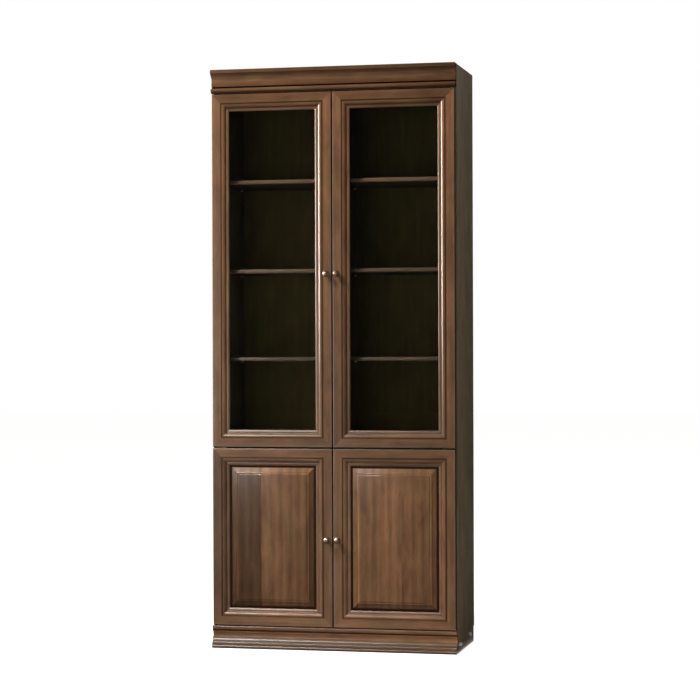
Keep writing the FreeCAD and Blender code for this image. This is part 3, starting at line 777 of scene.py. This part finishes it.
# the glued joints of the staves and their tones, and for each bevel how dark a film of painted
# shade, how matt and how light it is;
# the right and bottom bevels are darkened with painted shade, and the top and left ones lightened
# with painted light
panelLooks = {
    "panel_door_left": {
        "joints": [-0.280, -0.185, -0.092],
        "staveTones": [0.22, 0.50, 0.46, 0.48],
        "bevelShadeFilm": {"right": 0.55, "bottom": 0.45},
        "matt": {"top": 0.03},
        "tone": {"left": 0.1, "top": 0.6},
        "shift": 0.71,
    },
    "panel_door_right": {
        "joints": [0.092, 0.183, 0.262, 0.345],
        "staveTones": [0.25, 0.50, 0.60, 0.52, 0.52],
        "bevelShadeFilm": {"right": 0.30, "bottom": 0.50},
        "matt": {"top": 0.06},
        "tone": {"left": 0.6, "right": 0.2, "top": 0.25},
        "shift": 1.93,
    },
}


def raisedPanel(door):
    node = door + "_panel"
    low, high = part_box(node)
    p = panelSet
    mesh = bmesh.new()
    bmesh.ops.create_cube(mesh, size=1.0)
    size = Vector((high.x - low.x, p["tongue"], high.z - low.z))
    middle = Vector(((low.x + high.x) / 2, high.y - p["tongue"] / 2, (low.z + high.z) / 2))
    bmesh.ops.scale(mesh, vec=size, verts=mesh.verts)
    bmesh.ops.translate(mesh, vec=middle, verts=mesh.verts)
    front = [face for face in mesh.faces if face.normal.y < -0.9]

    def insetBy(width, rise):
        bmesh.ops.inset_region(mesh, faces=front, thickness=width, depth=rise,
                               use_even_offset=True, use_boundary=True)

    def rampBy(width, rise):
        # narrow strips at both ends keep the glaze and painted shade close to the lines it lies in
        strip = p["glazeShadeWidth"]
        parts = [strip, strip]
        if width > 7 * strip:
            parts = [strip, 1.5 * strip, 2 * strip, strip]
        parts.insert(-1, width - sum(parts))
        for part in parts:
            insetBy(part, rise * part / width)

    insetBy(p["reach"], 0.0)
    rampBy(p["margin"], 0.0)
    rampBy(p["bevelWidth"], p["bevelRise"])
    insetBy(0.0, p["stepRise"])
    rampBy(p["ledgeWidth"], p["ledgeRise"])
    insetBy(0.0, p["stepRise"])
    bmesh.ops.remove_doubles(mesh, verts=mesh.verts, dist=0.1 * meshSet["weld"])
    easeEdges(mesh, p["ease"], p)
    sight = (low.x + p["reach"], high.x - p["reach"], low.z + p["reach"], high.z - p["reach"])
    tongueFront = high.y - p["tongue"]
    bevelEnd = p["margin"] + p["bevelWidth"]
    fieldStart = bevelEnd + p["ledgeWidth"]
    ledgeHead = p["bevelRise"] + p["stepRise"] + p["ledgeRise"]
    lines = [(bevelEnd, p["bevelRise"], p["glazeShadeWidth"], p["bevelGlazeShade"]),
             (fieldStart, ledgeHead, p["glazeShadeWidth"], p["ledgeGlazeShade"])]
    looks = panelLooks[door]

    def edges(point):
        return {"left": point.x - sight[0], "right": sight[1] - point.x,
                "bottom": point.z - sight[2], "top": sight[3] - point.z}

    def sideOf(middle):
        # the bevel that a face belongs to, or nothing for the field
        away = edges(middle)
        side = min(away, key=away.get)
        return side if away[side] < fieldStart + 0.1 * mm else None

    # painted shade with glaze: the recess, the creases at the steps, and a dark film on the bevels
    # that face away from the light
    def glazeShade(point, middle):
        side = sideOf(middle)
        if side is None:
            return 0.0
        edge = edges(point)[side]
        out = tongueFront - point.y
        inRecess = p["recessGlazeShade"] * (1 - 0.2 * min(1.0, max(0.0, edge / p["margin"])))
        if edge > p["margin"]:
            inRecess *= fading(edge - p["margin"], p["spread"][side])
        bevelShadeFilm = looks["bevelShadeFilm"].get(side, 0.0) if edges(middle)[side] < bevelEnd else 0.0
        return max(inRecess, bevelShadeFilm, *[strength * fading(math.hypot(edge - a, out - b), reach)
                                     for a, b, reach, strength in lines])

    def matt(point, middle):
        return looks["matt"].get(sideOf(middle), 0.0)

    # painted light: single bevels are lightened, most of all the top and left ones, which face the
    # lamps
    def tone(point, middle):
        return looks["tone"].get(sideOf(middle), 0.0)

    staves = {"left": low.x, "right": high.x, "joints": looks["joints"],
              "tones": looks["staveTones"], "jointWidth": p["jointWidth"]}
    material = woodMaterial(door + "Wood", "panel", "Z", staves=staves)
    finishPiece(mesh, node + "_raised", node, "panel_wood", material, glazeShade=glazeShade, tone=tone,
                matt=matt, shift=looks["shift"], byFace=True)


for door in doors[2:]:
    raisedPanel(door)
print("raised panels made")


# Crown and base mouldings, run across the whole front
crownSet = {
    "projection": 12 * mm,
    "filletHeight": 13 * mm,
    "quirk": 2 * mm,
    "coveHeight": 48 * mm,
    "coveSlope": 14 * mm,
    "coveRecess": 9 * mm,
    "slopeAngle": 45.0,
    "grooveDepth": 4 * mm,
    "beadHeight": 16 * mm,
    "beadProjection": 4.5 * mm,
    "footHeight": 4 * mm,
    "footRecess": 3.5 * mm,
    "ease": 0.6 * mm,
    "arcSteps": 10,
    "shift": 4.3,
    # tones and matts by height in mm, and tones by place along the run; the tones are painted
    # light and shade, lighter where the cove and the base's face lie in the shade of what
    # overhangs them, darker on lit faces, and lighter or darker along the run as light falls
    "tones": [(-90, 0.0), (-84, -0.22), (-72, -0.22), (-67, 0.0), (-42, 0.0), (-29, 0.8),
              (-17, 1.6), (-14, -0.36), (0, -0.36)],
    "endLightTones": [(0.1, 1.0), (0.47, 0.66)],
    "matts": [(0, 0.0)],
}
baseSet = {
    "noseRecess": 0 * mm,
    "noseRadius": 4 * mm,
    "noseHeight": 12 * mm,
    "noseShade": 4 * mm,
    "ovoloHeight": 12 * mm,
    "ovoloRise": 2.4 * mm,
    "faceRecess": 10 * mm,
    "faceHeight": 18 * mm,
    "slopeHeight": 13 * mm,
    "slopeRise": 2 * mm,
    "slopeRecess": 0.5 * mm,
    "quirk": 6 * mm,
    "plinthProjection": 7 * mm,
    "reedGroove": 1.2 * mm,
    "reedRise": 1 * mm,
    "ease": 0.6 * mm,
    "arcSteps": 10,
    "shift": 6.1,
    # painted light: the face under the nose is lightened where it lies in shade, and the nose,
    # slope and plinth are darkened
    "tones": [(25, -0.42), (31, -0.4), (43, -0.3), (46, 0.2), (54, 0.9), (62, 1.6), (70, 0.4),
              (74, 0.0), (80, -0.2), (86, -0.4)],
    "endLightTones": [(-0.47, 1.0), (-0.2, 1.55), (0.08, 2.0), (0.47, 1.6)],
    "matts": [(25, 0.14), (31, 0.06), (44, 0.05), (46, 0.0), (74, 0.0), (80, 0.06)],
}
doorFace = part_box("glass_door_left_hinge_stile")[1].y - doorSection["thickness"]


def mouldingPiece(node, steps, reference, glazeShadeLines, look):
    # reference is the height that the steps, tones and matts start from, and the lines of
    # glaze and painted shade are given as a door frame's are
    low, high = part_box(node)

    def place(out, up):
        return Vector((low.x, doorFace - out, reference + up))

    bar = sectionBar(steps, place, Vector((high.x - low.x, 0, 0)), look)

    # painted light and shade: lighter on faces in shade and darker on lit ones, and changing along
    # the run
    def tone(point):
        level = 1 + alongRun(look["tones"], (point.z - reference) / mm)
        return level * alongRun(look["endLightTones"], point.x) - 1

    def matt(point):
        return alongRun(look["matts"], (point.z - reference) / mm)

    def glazeShade(point):
        out = doorFace - point.y
        up = point.z - reference
        return max(fading(math.hypot(out - a, up - b), reach) * strength
                   for a, b, reach, strength in glazeShadeLines)

    finishPiece(bar, node + "_run", node, "moulding_wood", mouldingLevel,
                shift=look["shift"], tone=tone, glazeShade=glazeShade, matt=matt)


def crown():
    c = crownSet
    low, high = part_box("crown_moulding")
    height = high.z - low.z
    wall = doorFace - high.y
    coveTop = -c["filletHeight"] - c["quirk"]
    coveHead = c["projection"] - c["quirk"]
    curveHead = coveHead - c["coveSlope"]
    curveRun = curveHead + c["coveRecess"]
    curveDrop = curveRun / math.tan(math.radians(c["slopeAngle"] / 2))
    beadUnder = -height + c["footHeight"]
    beadOver = beadUnder + c["beadHeight"]
    beadRoot = c["beadProjection"] - c["beadHeight"] / 2
    coveFoot = coveTop - c["coveHeight"]
    grooveBack = -c["coveRecess"] - c["grooveDepth"]
    steps = [
        (wall, 0),
        (c["projection"], 0),
        (c["projection"], -c["filletHeight"]),
        (coveHead, coveTop),
        (curveHead, coveTop - c["coveSlope"]),
        (-c["coveRecess"], coveTop - c["coveSlope"] - curveDrop,
         -uprightArcRise(curveRun, curveDrop)),
        (-c["coveRecess"], coveFoot),
        (grooveBack, coveFoot),
        (grooveBack, beadOver),
        (beadRoot, beadOver),
        (beadRoot, beadUnder, c["beadHeight"] / 2),
        (-c["footRecess"], beadUnder),
        (-c["footRecess"], -height),
        (wall, -height),
    ]
    # glaze with painted shade: darker under the fillet, in the groove over the bead and under the
    # bead
    lines = [(coveHead, coveTop, 3.0 * mm, 0.7), (grooveBack, coveFoot, 6.5 * mm, 1.5),
             (grooveBack, beadOver, 11.0 * mm, 1.5), (beadRoot, beadUnder, 6.0 * mm, 1.0)]
    mouldingPiece("crown_moulding", steps, high.z, lines, c)


def base():
    b = baseSet
    low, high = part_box("base_moulding")
    height = high.z
    wall = doorFace - high.y
    noseFoot = height - b["noseHeight"]
    ovoloFoot = noseFoot - b["ovoloHeight"]
    slopeHead = ovoloFoot - b["faceHeight"]
    slopeFoot = slopeHead - b["slopeHeight"]
    plinthTop = slopeFoot - b["quirk"]
    reed = (plinthTop + low.z) / 2
    steps = [
        (wall, height),
        (-b["noseRecess"] - b["noseRadius"], height),
        (-b["noseRecess"], height - b["noseRadius"], quarterRise(b["noseRadius"])),
        (-b["noseRecess"], noseFoot),
        (-b["faceRecess"], ovoloFoot, b["ovoloRise"]),
        (-b["faceRecess"], slopeHead),
        (-b["slopeRecess"], slopeFoot, b["slopeRise"]),
        (-b["slopeRecess"], plinthTop),
        (b["plinthProjection"], plinthTop),
        (b["plinthProjection"], reed + b["reedGroove"], b["reedRise"]),
        (b["plinthProjection"] - b["reedGroove"], reed),
        (b["plinthProjection"], reed - b["reedGroove"]),
        (b["plinthProjection"], low.z, b["reedRise"]),
        (wall, low.z),
    ]
    # glaze with painted shade: a painted shadow under the nose, darker at the ovolo's foot, over
    # the plinth and in the reed, and a painted contact shadow along the plinth's foot
    lines = [(-b["noseRecess"] - b["noseShade"], noseFoot - b["noseShade"], 6.5 * mm, 2.2),
             (-b["faceRecess"], ovoloFoot, 3.0 * mm, 0.8),
             (-b["slopeRecess"], plinthTop, 4.5 * mm, 1.0),
             (b["plinthProjection"] - b["reedGroove"], reed, 2.4 * mm, 0.5),
             (b["plinthProjection"], low.z, 6.0 * mm, 2.4)]
    mouldingPiece("base_moulding", steps, 0.0, lines, b)


crown()
base()
print("crown and base made")


# Turned knobs
knobSet = {
    "roseRadius": 8.0 * mm,
    "roseThickness": 1.6 * mm,
    "roseRim": 0.96 * mm,
    "roseSlope": 0.8 * mm,
    "roseDome": 0.2 * mm,
    "neckFlare": 1.0 * mm,
    "neckRadius": 4.6 * mm,
    "neckLength": 9.5 * mm,
    "radius": 12.5 * mm,
    "widest": 18.5 * mm,
    "projection": 28 * mm,
    "buttonRadius": 3.0 * mm,
    "turns": 56,
    "curveSteps": 10,
    "smoothAngle": 40.0,
}


def turnedKnob(door):
    node = door + "_knob"
    low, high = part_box(node)
    k = knobSet
    middle = Vector(((low.x + high.x) / 2, doorFace, (low.z + high.z) / 2))
    rings = [(0.0, 0.0), (k["roseRadius"], 0.0), (k["roseRadius"], k["roseRim"]),
             (k["roseRadius"] - k["roseSlope"], k["roseThickness"]),
             (k["neckRadius"] + k["neckFlare"], k["roseThickness"] + k["roseDome"])]
    turns = [math.pi / 2 * number / k["curveSteps"] for number in range(k["curveSteps"] + 1)]
    rings += [(k["neckRadius"] + (k["radius"] - k["neckRadius"]) * math.sin(turn),
               k["neckLength"] + (k["widest"] - k["neckLength"]) * (1 - math.cos(turn)))
              for turn in turns]
    rings += [(k["buttonRadius"] + (k["radius"] - k["buttonRadius"]) * math.cos(turn),
               k["widest"] + (k["projection"] - k["widest"]) * math.sin(turn))
              for turn in turns[1:]]
    rings.append((0.0, k["projection"]))
    mesh = bmesh.new()
    profile = [mesh.verts.new(middle + Vector((radius, -out, 0))) for radius, out in rings]
    edges = [mesh.edges.new(pair) for pair in zip(profile, profile[1:])]
    bmesh.ops.spin(mesh, geom=profile + edges, cent=middle, axis=(0, 1, 0), dvec=(0, 0, 0),
                   angle=2 * math.pi, steps=k["turns"], use_merge=True, use_duplicate=False)
    bmesh.ops.remove_doubles(mesh, verts=mesh.verts, dist=meshSet["weld"])
    finishPiece(mesh, node + "_turned", node, "knob_bronze", knobBronze,
                smoothAngle=k["smoothAngle"])


for door in doors:
    turnedKnob(door)
print("knobs made")


# Boards, rails and small blocks: the frame's own shapes with eased arrises
shelfEdge = {"width": 8 * mm, "dark": (42, 31, 23), "light": (60, 46, 35)}
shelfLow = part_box("shelf_upper_left_1")[0]
shelfWood = woodMaterial("shelfWood", "shelf", "X",
                         edge=dict(shelfEdge, back=shelfLow.y + shelfEdge["width"]))

boardEase = {"shortestEdge": 6 * mm, "crispAngle": 30.0, "easeSegments": 2}
# material, slot, width of the eased arris, and the part of the tree that the grain comes from
easedNodes = {
    "side_left": (sideVeneer, "side_wood", 0.8 * mm, 0.2),
    "side_right": (sideVeneer, "side_wood", 0.8 * mm, 1.4),
    "top_board": (insideLevel, "case_wood", 0.6 * mm, 2.1),
    "middle_board": (insideLevel, "case_wood", 0.6 * mm, 2.9),
    "bottom_board": (insideLevel, "case_wood", 0.6 * mm, 3.3),
    "partition_upper": (insideUpright, "case_wood", 0.6 * mm, 3.8),
    "partition_lower": (insideUpright, "case_wood", 0.6 * mm, 4.4),
    "back_upper": (insideUpright, "back_board", 0.3 * mm, 5.0),
    "back_lower": (insideUpright, "back_board", 0.3 * mm, 5.5),
    "crown_rear_rail": (softwoodLevel, "block_wood", 0.6 * mm, 6.0),
    "base_rear_rail": (softwoodLevel, "block_wood", 0.6 * mm, 6.4),
    "glue_blocks": (softwoodLevel, "block_wood", 0.6 * mm, 6.9),
    "glass_door_left_glass_beads": (beadUpright, "bead_wood", 0.4 * mm, 7.3),
    "glass_door_right_glass_beads": (beadUpright, "bead_wood", 0.4 * mm, 7.7),
    "magnetic_catches": (catchPlastic, "catch_plastic", 0.4 * mm, 0.0),
}
for node in nodes:
    if node.startswith("shelf_") and node != "shelf_pins":
        easedNodes[node] = (shelfWood, "shelf_wood", 0.5 * mm, 8.0 + 0.4 * len(easedNodes))
# faces of the case that differ from the rest of their board, and the shelves' tones, painted light
# that makes some shelves lighter than others
boardFaces = {"innerSide": -0.75, "outerBack": 0.9, "dustyTop": 0.2}
shelfLightTones = {
    "shelf_upper_left_1": -0.1, "shelf_upper_left_2": 0.7, "shelf_upper_left_3": 1.0,
    "shelf_upper_right_1": 0.2, "shelf_upper_right_2": 0.75, "shelf_upper_right_3": 1.55,
}


def boardTone(node):
    # the sides are stained dark inside, the back and the top board left plain outside
    low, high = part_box(node)
    innerFace = min(abs(low.x), abs(high.x)) + 3 * mm
    nearly = 0.1 * mm

    def rule(point, middle):
        if node.startswith("side_") and abs(middle.x) < innerFace:
            return boardFaces["innerSide"]
        if node.startswith("back_") and middle.y > high.y - nearly:
            return boardFaces["outerBack"]
        if node == "top_board" and middle.z > high.z - nearly:
            return boardFaces["dustyTop"]
        # painted light: each shelf is lightened or darkened by its own tone
        return shelfLightTones.get(node, 0.0)

    return rule


for node, (material, slotName, ease, shift) in easedNodes.items():
    mesh = mergedCopy(node)
    easeEdges(mesh, ease, boardEase)
    finishPiece(mesh, node + "_eased", node, slotName, material, shift=shift,
                tone=boardTone(node), byFace=True)
print("boards eased")

plainNodes = {
    "glass_door_left_glass": clearGlass,
    "glass_door_right_glass": clearGlass,
    "joining_bolts": boltNickelPaintedShine,
    "shelf_pins": pinSteel,
    "pivot_leaves": hingeBrass,
    "floor_glides": glidePlastic,
}
for door in doors:
    plainNodes[door + "_fittings"] = hingeBrass
for node, material in plainNodes.items():
    slots = nodes[node].data.materials
    slots.clear()
    slots.append(material)
print("small parts finished")


# Floor and world: white to the eye, plain and pale to the light
floorSet = {"size": 60.0, "dark": (216, 215, 212), "light": (220, 219, 216), "cloudScale": 3.0,
            "roughness": 0.9, "glow": 0.90}
worldSet = {"ambient": 0.13}


def paperMaterial(name, look):
    material, tree, shader = newMaterial(name)
    cloud = noise(tree, objectPlace(tree), look["cloudScale"])
    colour = mixColour(tree, "MIX", cloud, srgb(*look["dark"]), srgb(*look["light"]))
    setInputs(tree, shader, {"Base Color": colour, "Roughness": look["roughness"],
                             "Specular IOR Level": 0.0})
    return material, tree, shader


def seenDirectly(tree):
    # the eye's own rays, mirrored or straight through glass, but not what a surface
    # scattered or what was mirrored inside a pane
    path = addNode(tree, "ShaderNodeLightPath", {}).outputs
    throughGlass = path["Is Transmission Ray"]
    straight = math2(tree, "LESS_THAN", path["Glossy Depth"], 0.5)
    mirrored = times(tree, path["Is Glossy Ray"], math2(tree, "SUBTRACT", 1.0, throughGlass))
    seen = math2(tree, "MAXIMUM", path["Is Camera Ray"], mirrored)
    seen = math2(tree, "MAXIMUM", seen, times(tree, throughGlass, straight))
    return times(tree, seen, math2(tree, "LESS_THAN", path["Diffuse Depth"], 0.5))


def makeFloor():
    mesh = bmesh.new()
    bmesh.ops.create_grid(mesh, x_segments=2, y_segments=2, size=floorSet["size"] / 2)
    material, tree, shader = paperMaterial("floorPaper", floorSet)
    strength = times(tree, seenDirectly(tree), floorSet["glow"])
    glow = addNode(tree, "ShaderNodeEmission", {"Strength": strength})
    setSurface(tree, addNode(tree, "ShaderNodeAddShader",
                             {0: shader.outputs[0], 1: glow.outputs[0]}))
    floor = meshObject(mesh, "floor", material)


def makeWorld():
    world = bpy.data.worlds.new("studio")
    bpy.context.scene.world = world
    world.use_nodes = True
    tree = world.node_tree
    seen = seenDirectly(tree)
    plain = times(tree, math2(tree, "SUBTRACT", 1.0, seen), worldSet["ambient"])
    setInputs(tree, tree.nodes["Background"], {"Color": (1, 1, 1, 1),
                                               "Strength": plus(tree, seen, plain)})


lamps = {
    "keyLamp": {"place": (-2.36, -2.16, 4.52), "aim": (0.0, -0.18, 1.1), "size": (1.1, 1.1),
                "power": 325, "colour": (1.0, 0.968, 0.935), "hidden": ("glossy",)},
    "frontFill": {"place": (-0.4, -5.5, 1.3), "aim": (0.1, 0.0, 0.7), "size": (2.0, 2.0),
                  "power": 34, "colour": (1.0, 0.94, 0.86), "hidden": ("glossy",)},
    "sideLamp": {"place": (2.6, 1.4, 2.9), "aim": (0.47, 0.0, 1.3), "size": (0.8, 0.8),
                 "power": 12, "colour": (1.0, 0.98, 0.96), "hidden": ()},
    "leftEdgeLamp": {"place": (-2.5, -0.75, 1.85), "aim": (0.0, -0.19, 1.7), "size": (0.5, 1.3),
                     "power": 205, "colour": (1.0, 0.94, 0.90), "hidden": ("diffuse",)},
    "bevelLamp": {"place": (-4.4, -6.2, 4.56), "aim": (-0.5, -0.18, 0.56), "size": (0.8, 0.8),
                  "power": 32, "colour": (1.0, 0.93, 0.86), "hidden": ("diffuse",), "spread": 16},
}
# dark cards that only mirrored rays see, as a studio keeps white off polished faces
darkCards = {
    "frontCard": {"place": (-0.8, -6.7, 1.6), "aim": (-0.8, 0.0, 1.6), "size": (10.0, 7.0)},
    "rightCard": {"place": (4.0, -2.5, 2.0), "aim": (0.0, -2.5, 2.0), "size": (8.0, 6.0)},
    "frontFloorCard": {"place": (-1.0, -3.15, 0.0015), "aim": (-1.0, -3.15, -1.0),
                       "size": (7.0, 5.92)},
    "leftCard": {"place": (-4.0, -2.0, 2.0), "aim": (0.0, -2.0, 2.0), "size": (8.0, 6.0)},
    "topCard": {"place": (0.0, -2.0, 5.2), "aim": (0.0, -2.0, 0.0), "size": (8.0, 8.0)},
    "sideCard": {"place": (2.6, 3.0, 1.0), "aim": (0.47, 0.0, 1.0), "size": (8.0, 5.1)},
    "sideFloorCard": {"place": (2.48, 1.6, 0.004), "aim": (2.48, 1.6, -1.0), "size": (4.0, 4.4)},
}
cardPaper = {"dark": (20, 19, 8), "light": (27, 25, 12), "cloudScale": 2.0, "roughness": 0.5}


def aimedMatrix(setting):
    place = Vector(setting["place"])
    way = Vector(setting["aim"]) - place
    return Matrix.Translation(place) @ way.to_track_quat("-Z", "Y").to_matrix().to_4x4()


def makeLamp(name, lamp):
    data = bpy.data.lights.new(name, "AREA")
    data.shape = "RECTANGLE"
    data.size, data.size_y = lamp["size"]
    data.energy = lamp["power"]
    data.color = lamp["colour"]
    data.spread = math.radians(lamp.get("spread", 180))
    light = bpy.data.objects.new(name, data)
    light.matrix_world = aimedMatrix(lamp)
    for ray in ("camera", "transmission") + lamp["hidden"]:
        setattr(light, "visible_" + ray, False)
    bpy.context.scene.collection.objects.link(light)


def makeDarkCard(name, card, material):
    mesh = bmesh.new()
    bmesh.ops.create_grid(mesh, x_segments=1, y_segments=1, size=0.5)
    bmesh.ops.scale(mesh, vec=(*card["size"], 1.0), verts=mesh.verts)
    bmesh.ops.transform(mesh, matrix=aimedMatrix(card), verts=mesh.verts)
    piece = meshObject(mesh, name, material)
    for ray in ("camera", "diffuse", "transmission", "shadow", "volume_scatter"):
        setattr(piece, "visible_" + ray, False)


makeFloor()
makeWorld()
darkPaper = paperMaterial("darkPaper", cardPaper)[0]
for name, card in darkCards.items():
    makeDarkCard(name, card, darkPaper)
for name, lamp in lamps.items():
    makeLamp(name, lamp)
bpy.context.scene.view_settings.view_transform = "Standard"
print("studio lit")
